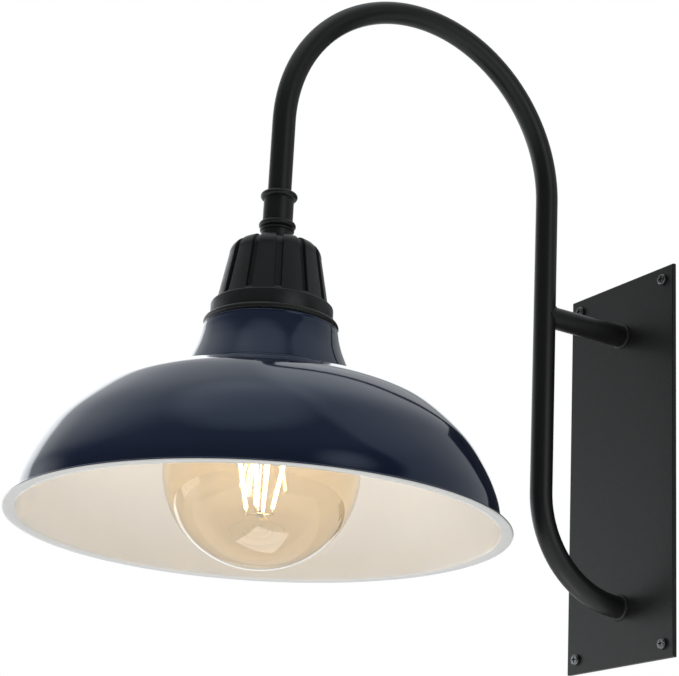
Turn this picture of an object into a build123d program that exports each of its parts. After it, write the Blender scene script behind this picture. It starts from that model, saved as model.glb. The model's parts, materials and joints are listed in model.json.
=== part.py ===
from build123d import *
from math import cos, radians, sin
import os

# Outdoor wall lantern: a tall backplate carries a gooseneck arm with a barn-style shade and a globe lamp.
# Frame: origin at the centre of the backplate's back (wall) face, +Z up, +Y into the wall, -Y into the room.

# ---- backplate and its screws ----
PLATE_WIDTH = 114.0
PLATE_HEIGHT = 285.0
PLATE_THICKNESS = 3.0
PLATE_EDGE_ROUND = 0.8
SCREW_SPACING_X = 93.0
SCREW_SPACING_Z = 265.0
SCREW_HOLE_R = 2.4
SCREW_NECK_R = 2.25
SCREW_SHANK_R = 2.0
SCREW_HEAD_R = 4.0
SCREW_HEAD_HEIGHT = 2.6
SCREW_STAND_OUT = 4.5
RECESS_WIDTH = 1.0
RECESS_LENGTH = 4.4
RECESS_DEPTH = 1.5
HEAD_DOME_SHARE = 0.45

# ---- arm ----
TUBE_R = 7.95
TUBE_WALL = 1.5
ARM_ENTRY_Z = -101.0
STRUT_Z = 101.0
LOWER_BEND_R = 71.2
ARCH_R = 113.0
ARCH_CENTRE_Z = 188.3
STRUT_SEAT_GAP = 0.01
CUTTER_REACH = 30.0
FRONT_Y = -PLATE_THICKNESS
UPRIGHT_Y = FRONT_Y - LOWER_BEND_R
HEAD_Y = UPRIGHT_Y - 2 * ARCH_R
TUBE_END_Z = 112.0
WELD_LEG = 1.7
BUSHING_R = 7.0
BUSHING_BORE_R = 4.4
BUSHING_EDGE_ROUND = 0.8

# ---- collar and threaded nipple ----
COLLAR_BASE_Z = 98.0
COLLAR_BASE_R = 10.6
COLLAR_NECK_Z = 107.6
COLLAR_RIDGE_R = 11.4
COLLAR_RIDGE_TOP_Z = 109.3
COLLAR_BEAD_R = 12.4
LOWER_BEAD_TOP_Z = 113.8
COLLAR_BODY_R = 10.1
UPPER_BEAD_Z = 130.2
COLLAR_TOP_Z = 134.8
COLLAR_BORE_R = 8.0
NIPPLE_R = 4.85
NIPPLE_BORE_R = 3.4
NIPPLE_LOW_Z = 85.0
NIPPLE_TOP_Z = 110.0
FIT_GAP = 0.05
GRUB_Z = 122.0
GRUB_R = 1.5
GRUB_KEY_R = 0.75
GRUB_KEY_DEPTH = 0.7

# ---- ribbed cap ----
CAP_TOP_Z = 98.0
CAP_LOW_Z = 54.0
CAP_ROOF_Z = 94.5
RIB_COUNT = 12
RIB_PHASE = 4.2
GROOVE_WIDTH = 3.8
GROOVE_LOW_Z = 56.5
CAP_OUTLINE = [(31.0, 89.5), (36.4, 57.6), (38.6, 55.2), (38.6, CAP_LOW_Z)]
CAP_SHOULDER_R = 20.0
CORE_OUTLINE = [(28.6, 88.5), (34.4, 57.0), (34.4, GROOVE_LOW_Z)]
CAP_CAVITY = [(0, CAP_ROOF_Z), (17.0, CAP_ROOF_Z), (24.5, 88.0), (31.0, 58.0), (31.0, CAP_LOW_Z)]
CAP_BOSS_R = 4.2
CAP_BOSS_TOP_Z = 66.0

# ---- fitter ring, gasket, retaining ring and their screws ----
FITTER_R = 40.4
FITTER_LOW_Z = 43.0
GASKET_R = 44.3
SHADE_TOP_Z = 38.0
GASKET_ROUND = 1.8
CLAMP_BORE_R = 24.0
CLAMP_SCREW_CIRCLE_R = 28.8
CLAMP_SCREW_COUNT = 3
CLAMP_SCREW_R = 2.0
CLAMP_HOLE_R = 2.2
CLAMP_SCREW_TOP_Z = 62.0
CLAMP_HEAD_R = 3.8
CLAMP_HEAD_HEIGHT = 2.4
RETAINER_R = 40.0
RETAINER_THICKNESS = 2.0

# ---- shade ----
SHADE_WALL = 1.2
NECK_TOP_R = 44.6
NECK_TOP_ROUND = 1.0
NECK_STRAIGHT_R = 45.2
NECK_STRAIGHT_Z = 29.0
NECK_FOOT = (57.0, 2.2)
SEAM = [(58.2, 1.0), (60.4, 0.2)]
DOME = [
    (60.4, 0.2),
    (87.0, -7.0),
    (101.2, -12.9),
    (116.5, -21.9),
    (134.4, -39.8),
    (145.3, -57.6),
    (152.2, -75.5),
    (154.5, -92.0),
]
RIM_R = 161.8
RIM_TOP_Z = -93.0
RIM_LOW_Z = -95.0
RIM_EDGE_ROUND = 0.5
RIM_FLANGE_START = 1.0
RIM_UNDER_START = 0.6
RIM_UNDER_RISE = 1.4

# ---- lamp socket and bracket ----
SOCKET_LOW_Z = 28.0
SOCKET_SHOULDER_Z = 60.0
SOCKET_TOP_Z = 66.0
SOCKET_R = 19.5
SOCKET_TOP_R = 17.5
SOCKET_BORE_R = 14.8
SOCKET_BORE_TOP_Z = 54.0
SOCKET_POCKET_R = 10.0
SOCKET_POCKET_TOP_Z = 57.0
SHELL_INNER_R = 13.6
SHELL_CREST_R = 14.2
SHELL_WALL = 0.5
SHELL_LOW_Z = 30.0
THREAD_PITCH = 3.63
THREAD_TURNS = 6
POST_X = 9.0
POST_R = 2.6
POST_HEIGHT = 6.0
TONGUE_LENGTH = 11.0
TONGUE_WIDTH = 5.0
TONGUE_THICKNESS = 0.5
TONGUE_X = 2.0
BRACKET_WIDTH = 14.0
BRACKET_REACH = 18.0
BRACKET_THICKNESS = 1.5
BRACKET_TOP_Z = 91.5
BRACKET_FOOT = 8.0
BRACKET_SCREW_Y = 13.5
BRACKET_SCREW_R = 1.5
BRACKET_HEAD_R = 2.8
BRACKET_HEAD_HEIGHT = 2.0
BRACKET_SCREW_LENGTH = 7.0
BRACKET_HOLE_DEPTH = 5.6
LOCKNUT_FLATS = 14.0
LOCKNUT_THICKNESS = 3.0
GROUND_SCREW_Z = 78.0
GROUND_HEAD_R = 3.0
GROUND_SCREW_LENGTH = 3.0

# ---- wires ----
WIRE_R = 1.0
WIRE_X = 1.15
GROUND_OFFSET = 2.0
WIRE_START_Y = -0.3
WIRE_DROP_Z = 77.0
WIRE_BEND_R = 3.5

# ---- globe lamp ----
GLOBE_R = 63.5
GLOBE_Z = -57.4
GLASS_WALL = 0.8
NECK_ANGLE = 40.0
LAMP_NECK_R = 12.0
LAMP_NECK_Z = 24.5
LAMP_NECK_TOP_Z = 33.0
BASE_CREST_R = 13.2
BASE_ROOT_R = 12.5
BASE_WALL = 0.4
BASE_LOW_Z = 25.6
BASE_TOP_Z = 50.9
INSULATOR_TOP_Z = 53.0
INSULATOR_RIM = 1.5
INSULATOR_TOP_R = 5.0
CONTACT_TOP_Z = 54.0
CONTACT_R = 3.2
CONTACT_ROUND = 0.7
CONTACT_CLEARANCE = 0.3
STEM_R = 5.0
STEM_LOW_Z = -40.0
STEM_FLARE_R = 10.6
STEM_FLARE_RIM = 2.0
STEM_FLARE_FOOT_Z = 2.0
STEM_PINCH = 8.0
ROD_R = 1.6
HUB_Z = -86.0
HUB_R = 2.2
FILAMENT_COUNT = 4
FILAMENT_R = 1.1
FILAMENT_LOW = (8.6, -82.5)
FILAMENT_HIGH = (16.0, -44.5)
FILAMENT_PHASE = 45.0
LEAD_R = 0.35
LEAD_ROOT_SHARE = 0.36
LEAD_ROOT_RISE = 12.0
LEAD_LAP = 0.2
KNEE_SHARE = 1.05
ROD_SEAT = 1.0
BOARD_WIDTH = 18.0
BOARD_THICKNESS = 1.2
BOARD_HEIGHT = 19.0
BOARD_Z = 37.6

HEAD = Pos(0, HEAD_Y, 0)


def turned(points):
    """Solid of revolution about Z from a closed outline of (radius, height) points."""
    return revolve(Plane.XZ * make_face(Polyline(*points, close=True)), Axis.Z)


def cylinder_y(radius, y0, y1, x=0.0, z=0.0):
    """Cylinder along Y between two depths."""
    return Pos(x, (y0 + y1) / 2, z) * Rot(90, 0, 0) * Cylinder(radius, abs(y1 - y0))


def cylinder_z(radius, z0, z1, x=0.0, y=0.0):
    """Cylinder along Z between two heights."""
    return Pos(x, y, (z0 + z1) / 2) * Cylinder(radius, abs(z1 - z0))


def arm_line(offset, x, end_z, start_y=FRONT_Y):
    """Line through the arm, set off by a distance towards its underside at the plate, and by x sideways."""
    upright_y = UPRIGHT_Y - offset
    bend_r = LOWER_BEND_R + offset
    arch_r = ARCH_R - offset
    flat = Plane.YZ.offset(x)
    pieces = [
        flat * CenterArc((FRONT_Y, ARM_ENTRY_Z + LOWER_BEND_R), bend_r, -90, -90),
        flat * Line((upright_y, ARM_ENTRY_Z + LOWER_BEND_R), (upright_y, ARCH_CENTRE_Z)),
        flat * CenterArc((UPRIGHT_Y - ARCH_R, ARCH_CENTRE_Z), arch_r, 0, 180),
        flat * Line((HEAD_Y + offset, ARCH_CENTRE_Z), (HEAD_Y + offset, end_z)),
    ]
    if start_y != FRONT_Y:
        entry_z = ARM_ENTRY_Z - offset
        pieces.insert(0, flat * Line((start_y, entry_z), (FRONT_Y, entry_z)))
    return pieces


def swept(pieces, radius):
    """Round bar along a chain of lines and arcs."""
    path = Wire(pieces)
    start = Plane(origin=path @ 0, z_dir=path % 0)
    return sweep(start * Circle(radius), path)


def screw_places():
    """The four screw positions on the plate as (x, z)."""
    return [(sx * SCREW_SPACING_X / 2, sz * SCREW_SPACING_Z / 2) for sx in (-1, 1) for sz in (-1, 1)]


def backplate():
    plate = Pos(0, -PLATE_THICKNESS / 2, 0) * Box(PLATE_WIDTH, PLATE_THICKNESS, PLATE_HEIGHT)
    plate = fillet(plate.faces().sort_by(Axis.Y)[0].edges(), PLATE_EDGE_ROUND)
    for x, z in screw_places():
        plate -= cylinder_y(SCREW_HOLE_R, -PLATE_THICKNESS - 1, 1, x, z)
    return plate - cylinder_y(BUSHING_R + FIT_GAP, -PLATE_THICKNESS - 1, 1, 0, ARM_ENTRY_Z)


def pan_screw(head_r, head_height, shank_r, shank_length):
    """Pan head screw with a cross recess, head seated at height 0 and shank down -Z."""
    dome = head_height * HEAD_DOME_SHARE
    head = cylinder_z(head_r, 0, head_height)
    head = fillet(head.edges().sort_by(Axis.Z)[-1], dome)
    recess = Box(RECESS_LENGTH, RECESS_WIDTH, RECESS_DEPTH) + Box(RECESS_WIDTH, RECESS_LENGTH, RECESS_DEPTH)
    head -= Pos(0, 0, head_height - RECESS_DEPTH / 2) * recess
    return head + cylinder_z(shank_r, -shank_length, 0)


def plate_screws():
    """Wall screws: a plain neck inside the plate, and the thinner threaded length behind it."""
    length = PLATE_THICKNESS + SCREW_STAND_OUT
    screws = []
    for x, z in screw_places():
        screw = pan_screw(SCREW_HEAD_R, SCREW_HEAD_HEIGHT, SCREW_SHANK_R, length)
        screw += cylinder_z(SCREW_NECK_R, -PLATE_THICKNESS, 0)
        screws.append(Pos(x, FRONT_Y, z) * Rot(90, 0, 0) * screw)
    return Compound(screws)


def gooseneck_tube():
    line = arm_line(0, 0, TUBE_END_Z)
    return swept(line, TUBE_R) - swept(line, TUBE_R - TUBE_WALL)


def upright_stretch(radius):
    """Length of the upright tube on both sides of the strut."""
    return cylinder_z(radius, STRUT_Z - CUTTER_REACH, STRUT_Z + CUTTER_REACH, 0, UPRIGHT_Y)


def strut_tube():
    """Straight tube coped round the upright."""
    strut = cylinder_y(TUBE_R, UPRIGHT_Y, FRONT_Y, 0, STRUT_Z)
    strut -= cylinder_y(TUBE_R - TUBE_WALL, UPRIGHT_Y, FRONT_Y, 0, STRUT_Z)
    return strut - upright_stretch(TUBE_R + STRUT_SEAT_GAP)


def plate_weld(z):
    """Fillet weld around a tube where it meets the plate."""
    bead = turned([(TUBE_R, 0), (TUBE_R + WELD_LEG, 0), (TUBE_R, WELD_LEG)])
    return Pos(0, FRONT_Y, z) * Rot(90, 0, 0) * bead


def saddle_weld():
    """Bead in the corner between the strut and the upright tube."""
    near_strut = cylinder_y(TUBE_R + WELD_LEG, UPRIGHT_Y, FRONT_Y, 0, STRUT_Z)
    strut = cylinder_y(TUBE_R, UPRIGHT_Y, FRONT_Y, 0, STRUT_Z)
    return (near_strut & upright_stretch(TUBE_R + WELD_LEG)) - strut - upright_stretch(TUBE_R)


def weld_beads():
    # The lower bead is cut to the tube, which already curves upward inside the bead's width.
    lower = plate_weld(ARM_ENTRY_Z) - swept(arm_line(0, 0, TUBE_END_Z)[:1], TUBE_R)
    return Compound(lower.solids() + plate_weld(STRUT_Z).solids() + saddle_weld().solids())


def wire_bushing():
    ring = cylinder_z(BUSHING_R, 0, PLATE_THICKNESS) - cylinder_z(BUSHING_BORE_R, -1, PLATE_THICKNESS + 1)
    ring = fillet(ring.edges().filter_by(GeomType.CIRCLE).sort_by(SortBy.RADIUS)[:2], BUSHING_EDGE_ROUND)
    return Pos(0, 0, ARM_ENTRY_Z) * Rot(90, 0, 0) * ring


def bead_arc(low, crest_r, high):
    """Rounded bead between two outline points."""
    return ThreePointArc(low, (crest_r, (low[1] + high[1]) / 2), high)


def collar():
    """Turned collar with a bead at each end, a thin ridge and a round base."""
    neck = (COLLAR_BASE_R, COLLAR_NECK_Z)
    ridge_top = (COLLAR_BASE_R, COLLAR_RIDGE_TOP_Z)
    lower_bead_top = (COLLAR_BODY_R, LOWER_BEAD_TOP_Z)
    upper_bead_low = (COLLAR_BODY_R, UPPER_BEAD_Z)
    upper_bead_top = (COLLAR_BODY_R, COLLAR_TOP_Z)
    edge = [
        Polyline((0, COLLAR_TOP_Z), (0, COLLAR_BASE_Z), (COLLAR_BASE_R, COLLAR_BASE_Z), neck),
        bead_arc(neck, COLLAR_RIDGE_R, ridge_top),
        bead_arc(ridge_top, COLLAR_BEAD_R, lower_bead_top),
        Line(lower_bead_top, upper_bead_low),
        bead_arc(upper_bead_low, COLLAR_BEAD_R, upper_bead_top),
        Line(upper_bead_top, (0, COLLAR_TOP_Z)),
    ]
    body = revolve(Plane.XZ * make_face(edge), Axis.Z)
    body -= cylinder_z(COLLAR_BORE_R, TUBE_END_Z - FIT_GAP, COLLAR_TOP_Z + 1)
    body -= cylinder_z(NIPPLE_R + FIT_GAP, COLLAR_BASE_Z - 1, TUBE_END_Z)
    body -= cylinder_y(GRUB_R + FIT_GAP, COLLAR_BORE_R - 1, COLLAR_BODY_R + 2, 0, GRUB_Z)
    return HEAD * body


def collar_set_screw():
    """Grub screw in the wall side of the collar, nipping the end of the tube."""
    grub = cylinder_y(GRUB_R, TUBE_R + FIT_GAP, COLLAR_BODY_R, 0, GRUB_Z)
    key = extrude(RegularPolygon(GRUB_KEY_R, 6), GRUB_KEY_DEPTH, both=True)
    return HEAD * (grub - Pos(0, COLLAR_BODY_R, GRUB_Z) * Rot(90, 0, 0) * key)


def nipple():
    tube = cylinder_z(NIPPLE_R, NIPPLE_LOW_Z, NIPPLE_TOP_Z)
    return HEAD * (tube - cylinder_z(NIPPLE_BORE_R, NIPPLE_LOW_Z - 1, NIPPLE_TOP_Z + 1))


def nipple_locknuts():
    nuts = []
    for top in (CAP_ROOF_Z, BRACKET_TOP_Z - BRACKET_THICKNESS):
        blank = extrude(RegularPolygon(LOCKNUT_FLATS / 2, 6, major_radius=False), LOCKNUT_THICKNESS)
        hole = cylinder_z(NIPPLE_R + FIT_GAP, -1, LOCKNUT_THICKNESS + 1)
        nuts.append(HEAD * Pos(0, 0, top - LOCKNUT_THICKNESS) * (blank - hole))
    return Compound(nuts)


def clamp_places():
    """Positions of the three clamp screws about the head axis as (x, y)."""
    angles = [radians(360 / CLAMP_SCREW_COUNT * i + 90) for i in range(CLAMP_SCREW_COUNT)]
    return [(CLAMP_SCREW_CIRCLE_R * cos(a), CLAMP_SCREW_CIRCLE_R * sin(a)) for a in angles]


def cap_body(outline, shoulder_r, low_z):
    """Bell outline turned solid, with a quarter-round shoulder up to the flat top."""
    side_r, side_z = outline[0]
    rise = CAP_TOP_Z - side_z
    bend = (side_r - 0.24 * (side_r - shoulder_r), side_z + 0.72 * rise)
    edge = [
        Line((0, CAP_TOP_Z), (shoulder_r, CAP_TOP_Z)),
        ThreePointArc((shoulder_r, CAP_TOP_Z), bend, (side_r, side_z)),
        Polyline(*outline, (0, low_z), (0, CAP_TOP_Z)),
    ]
    return revolve(Plane.XZ * make_face(edge), Axis.Z)


def cap():
    bell = cap_body(CAP_OUTLINE, CAP_SHOULDER_R, CAP_LOW_Z)
    core = cap_body(CORE_OUTLINE, CAP_SHOULDER_R, GROOVE_LOW_Z)
    depth = CAP_OUTLINE[0][0] + 10
    height = CAP_TOP_Z - GROOVE_LOW_Z
    blades = []
    for i in range(RIB_COUNT):
        blade = Pos(depth / 2, 0, GROOVE_LOW_Z + height / 2) * Box(depth, GROOVE_WIDTH, height)
        blades.append(Rot(0, 0, RIB_PHASE + 360 / RIB_COUNT * i) * blade)
    body = bell - [blade - core for blade in blades]
    body -= turned(CAP_CAVITY + [(0, CAP_LOW_Z)])
    for x, y in clamp_places():
        body += cylinder_z(CAP_BOSS_R, CAP_LOW_Z, CAP_BOSS_TOP_Z, x, y)
        body -= cylinder_z(CLAMP_SCREW_R + FIT_GAP, CAP_LOW_Z - 1, CLAMP_SCREW_TOP_Z + 1, x, y)
    body -= cylinder_z(NIPPLE_R + FIT_GAP, CAP_ROOF_Z - 1, CAP_TOP_Z + 1)
    return HEAD * body


def clamp_ring(radius, low_z, top_z, edge_round=0.0):
    """Flat ring with the three clamp screw holes."""
    ring = cylinder_z(radius, low_z, top_z)
    if edge_round:
        ring = fillet(ring.edges().filter_by(GeomType.CIRCLE), edge_round)
    ring -= cylinder_z(CLAMP_BORE_R, low_z - 1, top_z + 1)
    for x, y in clamp_places():
        ring -= cylinder_z(CLAMP_HOLE_R, low_z - 1, top_z + 1, x, y)
    return HEAD * ring


def clamp_screws():
    head_z = SHADE_TOP_Z - SHADE_WALL - RETAINER_THICKNESS
    screws = []
    for x, y in clamp_places():
        screw = pan_screw(CLAMP_HEAD_R, CLAMP_HEAD_HEIGHT, CLAMP_SCREW_R, CLAMP_SCREW_TOP_Z - head_z)
        screws.append(HEAD * Pos(x, y, head_z) * Rot(180, 0, 0) * screw)
    return Compound(screws)


def inset(points, distance):
    """Points moved square to their own chain, inward and down."""
    moved = []
    for i, (r, z) in enumerate(points):
        before = points[max(i - 1, 0)]
        after = points[min(i + 1, len(points) - 1)]
        dr = after[0] - before[0]
        dz = after[1] - before[1]
        length = (dr * dr + dz * dz) ** 0.5
        moved.append((r + distance * dz / length, z - distance * dr / length))
    return moved


def shade():
    """Spun shell: folded top ring, straight neck, flared cone, seam, dome and outward rim."""
    neck = [(NECK_STRAIGHT_R, NECK_STRAIGHT_Z), NECK_FOOT, *SEAM]
    lining = inset(neck[:-1] + DOME, SHADE_WALL)
    lining_neck = lining[: len(neck) - 1]
    lining_dome = lining[len(neck) - 1 :]
    under_top_z = SHADE_TOP_Z - SHADE_WALL
    inner_neck_r = NECK_TOP_R - SHADE_WALL
    last_r, last_z = DOME[-1]
    inner_last = lining_dome[-1]
    edge = [
        Polyline(
            (CLAMP_BORE_R, SHADE_TOP_Z),
            (NECK_TOP_R - NECK_TOP_ROUND, SHADE_TOP_Z),
            (NECK_TOP_R, SHADE_TOP_Z - NECK_TOP_ROUND),
            *neck,
        ),
        Spline(*DOME),
        Polyline(
            (last_r, last_z),
            (last_r + RIM_FLANGE_START, RIM_TOP_Z),
            (RIM_R - RIM_EDGE_ROUND, RIM_TOP_Z),
            (RIM_R, RIM_TOP_Z - RIM_EDGE_ROUND),
            (RIM_R, RIM_LOW_Z + RIM_EDGE_ROUND),
            (RIM_R - RIM_EDGE_ROUND, RIM_LOW_Z),
            (last_r + RIM_UNDER_START, RIM_LOW_Z),
            (inner_last[0], RIM_LOW_Z + RIM_UNDER_RISE),
            inner_last,
        ),
        Spline(*reversed(lining_dome)),
        Polyline(
            lining_dome[0],
            *reversed(lining_neck),
            (inner_neck_r, under_top_z),
            (CLAMP_BORE_R, under_top_z),
            (CLAMP_BORE_R, SHADE_TOP_Z),
        ),
    ]
    shell = revolve(Plane.XZ * make_face(edge), Axis.Z)
    for x, y in clamp_places():
        shell -= cylinder_z(CLAMP_HOLE_R, under_top_z - 1, SHADE_TOP_Z + 1, x, y)
    return HEAD * shell


def thread_outline(root_r, crest_r, low_z):
    """Rounded-off zigzag of a rolled lamp thread, as (radius, height) points going up."""
    points = []
    for turn in range(THREAD_TURNS):
        z = low_z + turn * THREAD_PITCH
        points += [(root_r, z), (crest_r, z + THREAD_PITCH * 0.35), (crest_r, z + THREAD_PITCH * 0.65)]
    points.append((root_r, low_z + THREAD_TURNS * THREAD_PITCH))
    return points


def rolled_shell(root_r, crest_r, low_z, wall):
    """Thin threaded sleeve whose wall sits outside the given outline."""
    inner = thread_outline(root_r, crest_r, low_z)
    outer = [(r + wall, z) for r, z in reversed(inner)]
    return turned(inner + outer)


def socket_bracket():
    """Strap hung from the nipple, with two legs and feet that hold the socket."""
    leg_height = BRACKET_TOP_Z - SOCKET_TOP_Z
    top = Box(BRACKET_WIDTH, 2 * BRACKET_REACH, BRACKET_THICKNESS)
    leg = Box(BRACKET_WIDTH, BRACKET_THICKNESS, leg_height)
    foot = Box(BRACKET_WIDTH, BRACKET_FOOT, BRACKET_THICKNESS)
    strap = Pos(0, 0, BRACKET_TOP_Z - BRACKET_THICKNESS / 2) * top
    for side in (-1, 1):
        leg_y = side * (BRACKET_REACH - BRACKET_THICKNESS / 2)
        foot_y = side * (BRACKET_REACH - BRACKET_FOOT / 2)
        strap += Pos(0, leg_y, SOCKET_TOP_Z + leg_height / 2) * leg
        strap += Pos(0, foot_y, SOCKET_TOP_Z + BRACKET_THICKNESS / 2) * foot
        screw_y = side * BRACKET_SCREW_Y
        strap -= cylinder_z(BRACKET_SCREW_R + FIT_GAP, SOCKET_TOP_Z - 1, SOCKET_TOP_Z + 3, 0, screw_y)
    strap -= cylinder_z(NIPPLE_R + FIT_GAP, BRACKET_TOP_Z - 5, BRACKET_TOP_Z + 1)
    strap -= cylinder_y(BRACKET_SCREW_R + FIT_GAP, BRACKET_REACH - 3, BRACKET_REACH + 1, 0, GROUND_SCREW_Z)
    return HEAD * strap


def socket_screws():
    screws = []
    for side in (-1, 1):
        screw = pan_screw(BRACKET_HEAD_R, BRACKET_HEAD_HEIGHT, BRACKET_SCREW_R, BRACKET_SCREW_LENGTH)
        screws.append(HEAD * Pos(0, side * BRACKET_SCREW_Y, SOCKET_TOP_Z + BRACKET_THICKNESS) * screw)
    return Compound(screws)


def ground_screw():
    screw = pan_screw(GROUND_HEAD_R, BRACKET_HEAD_HEIGHT, BRACKET_SCREW_R, GROUND_SCREW_LENGTH)
    return HEAD * Pos(0, BRACKET_REACH - BRACKET_THICKNESS, GROUND_SCREW_Z) * Rot(90, 0, 0) * screw


def socket_body():
    """Glazed porcelain lampholder with a deep bore for its screw shell."""
    outline = [
        (0, SOCKET_TOP_Z),
        (SOCKET_TOP_R, SOCKET_TOP_Z),
        (SOCKET_R, SOCKET_SHOULDER_Z),
        (SOCKET_R, SOCKET_LOW_Z),
        (SOCKET_BORE_R, SOCKET_LOW_Z),
        (SOCKET_BORE_R, SOCKET_BORE_TOP_Z),
        (SOCKET_POCKET_R, SOCKET_BORE_TOP_Z),
        (SOCKET_POCKET_R, SOCKET_POCKET_TOP_Z),
        (0, SOCKET_POCKET_TOP_Z),
    ]
    body = turned(outline)
    for side in (-1, 1):
        hole = cylinder_z(BRACKET_SCREW_R + FIT_GAP, -BRACKET_HOLE_DEPTH, 1)
        body -= Pos(0, side * BRACKET_SCREW_Y, SOCKET_TOP_Z) * hole
    return HEAD * body


def socket_shell():
    """Brass screw shell with an inward top flange that seats in the porcelain."""
    sleeve = rolled_shell(SHELL_INNER_R, SHELL_CREST_R, SHELL_LOW_Z, SHELL_WALL)
    top_z = SHELL_LOW_Z + THREAD_TURNS * THREAD_PITCH
    flange_top_z = top_z + SHELL_WALL
    flange = cylinder_z(SHELL_INNER_R + SHELL_WALL, top_z, flange_top_z)
    flange -= cylinder_z(SOCKET_POCKET_R, top_z - 1, flange_top_z + 1)
    return HEAD * (sleeve + flange)


def socket_centre_contact():
    """Brass tongue above the lamp's tip, bent up into the porcelain pocket."""
    low_z = CONTACT_TOP_Z + CONTACT_CLEARANCE
    tongue = Box(TONGUE_LENGTH, TONGUE_WIDTH, TONGUE_THICKNESS)
    tongue = Pos(TONGUE_X, 0, low_z + TONGUE_THICKNESS / 2) * tongue
    riser_height = SOCKET_POCKET_TOP_Z - low_z
    riser_x = TONGUE_X + TONGUE_LENGTH / 2 - TONGUE_THICKNESS / 2
    riser = Pos(riser_x, 0, low_z + riser_height / 2) * Box(TONGUE_THICKNESS, TONGUE_WIDTH, riser_height)
    return HEAD * (tongue + riser)


def terminal_posts():
    posts = []
    for side in (-1, 1):
        post = cylinder_z(POST_R, SOCKET_TOP_Z, SOCKET_TOP_Z + POST_HEIGHT)
        post -= cylinder_z(WIRE_R + FIT_GAP, SOCKET_TOP_Z + 1, SOCKET_TOP_Z + POST_HEIGHT + 1)
        posts.append(HEAD * Pos(side * POST_X, 0, 0) * post)
    return Compound(posts)


def supply_wire(side):
    """Insulated wire from the plate's hole, through the arm, to one socket post."""
    x = side * WIRE_X
    post_x = side * POST_X
    down = arm_line(0, x, NIPPLE_LOW_Z, WIRE_START_Y)
    corner = FilletPolyline(
        (x, HEAD_Y, NIPPLE_LOW_Z),
        (x, HEAD_Y, WIRE_DROP_Z),
        (post_x, HEAD_Y, WIRE_DROP_Z),
        (post_x, HEAD_Y, SOCKET_TOP_Z + 1.1),
        radius=WIRE_BEND_R,
    )
    return swept(down + corner.edges(), WIRE_R)


def ground_wire():
    """Ground wire from the plate's hole, through the arm, to the screw on the bracket's leg."""
    y = HEAD_Y + GROUND_OFFSET
    head_face_y = HEAD_Y + BRACKET_REACH - BRACKET_THICKNESS - BRACKET_HEAD_HEIGHT
    down = arm_line(GROUND_OFFSET, 0, NIPPLE_LOW_Z, WIRE_START_Y)
    corner = FilletPolyline(
        (0, y, NIPPLE_LOW_Z),
        (0, y, GROUND_SCREW_Z),
        (0, head_face_y - FIT_GAP, GROUND_SCREW_Z),
        radius=WIRE_BEND_R,
    )
    return swept(down + corner.edges(), WIRE_R)


def globe_outline(radius, neck_r):
    """Half outline of the globe and its straight neck, from the bottom up, as edges in the XZ plane."""
    angle = radians(NECK_ANGLE)
    joint = (radius * sin(angle), GLOBE_Z + radius * cos(angle))
    bottom = (0, GLOBE_Z - radius)
    neck_foot = (neck_r, LAMP_NECK_Z)
    neck_top = (neck_r, LAMP_NECK_TOP_Z)
    flare = Spline(joint, neck_foot, tangents=[(-cos(angle), sin(angle)), (0, 1)])
    edges = [ThreePointArc(bottom, (radius, GLOBE_Z), joint), flare, Line(neck_foot, neck_top)]
    return bottom, neck_top, edges


def bulb_glass():
    """Thin blown globe with an open neck that is cemented into the base."""
    low_out, top_out, outer = globe_outline(GLOBE_R, LAMP_NECK_R)
    low_in, top_in, inner = globe_outline(GLOBE_R - GLASS_WALL, LAMP_NECK_R - GLASS_WALL)
    edges = outer + inner + [Line(top_out, top_in), Line(low_out, low_in)]
    return HEAD * revolve(Plane.XZ * make_face(edges), Axis.Z)


def bulb_base_shell():
    """Rolled metal screw base with a plain skirt around the glass neck."""
    inner_r = BASE_ROOT_R - BASE_WALL
    thread_low_z = BASE_TOP_Z - THREAD_TURNS * THREAD_PITCH
    sleeve = rolled_shell(inner_r, BASE_CREST_R - BASE_WALL, thread_low_z, BASE_WALL)
    skirt = cylinder_z(BASE_ROOT_R, BASE_LOW_Z, thread_low_z) - cylinder_z(inner_r, BASE_LOW_Z, thread_low_z)
    return HEAD * (sleeve + skirt)


def bulb_base_insulator():
    """Glass cone that closes the top of the base."""
    rim_r = BASE_ROOT_R - BASE_WALL - FIT_GAP
    rim_z = BASE_TOP_Z - INSULATOR_RIM
    top = (INSULATOR_TOP_R, INSULATOR_TOP_Z)
    return HEAD * turned([(0, rim_z), (rim_r, rim_z), (rim_r, BASE_TOP_Z), top, (0, INSULATOR_TOP_Z)])


def bulb_base_contact():
    disc = cylinder_z(CONTACT_R, INSULATOR_TOP_Z, CONTACT_TOP_Z)
    return HEAD * fillet(disc.edges().sort_by(Axis.Z)[-1], CONTACT_ROUND)


def bulb_stem():
    """Glass mount: a flare cemented in the neck, a tube and a solid centre rod."""
    flare = turned(
        [
            (0, LAMP_NECK_Z),
            (STEM_FLARE_R, LAMP_NECK_Z),
            (STEM_FLARE_R, LAMP_NECK_Z - STEM_FLARE_RIM),
            (STEM_R, STEM_FLARE_FOOT_Z),
            (STEM_R, STEM_LOW_Z + STEM_PINCH),
            (ROD_R, STEM_LOW_Z),
            (ROD_R, HUB_Z + ROD_SEAT),
            (0, HUB_Z + ROD_SEAT),
        ]
    )
    return HEAD * flare


def bar_between(start, end, radius):
    """Straight round bar between two points."""
    line = Line(start, end)
    return sweep(Plane(origin=line @ 0, z_dir=line % 0) * Circle(radius), line)


def filament_points():
    """Lower and upper end of every filament, as 3D points about the head axis."""
    ends = []
    for i in range(FILAMENT_COUNT):
        angle = radians(FILAMENT_PHASE + 360 / FILAMENT_COUNT * i)
        low = (FILAMENT_LOW[0] * cos(angle), FILAMENT_LOW[0] * sin(angle), FILAMENT_LOW[1])
        high = (FILAMENT_HIGH[0] * cos(angle), FILAMENT_HIGH[0] * sin(angle), FILAMENT_HIGH[1])
        ends.append((low, high))
    return ends


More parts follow.
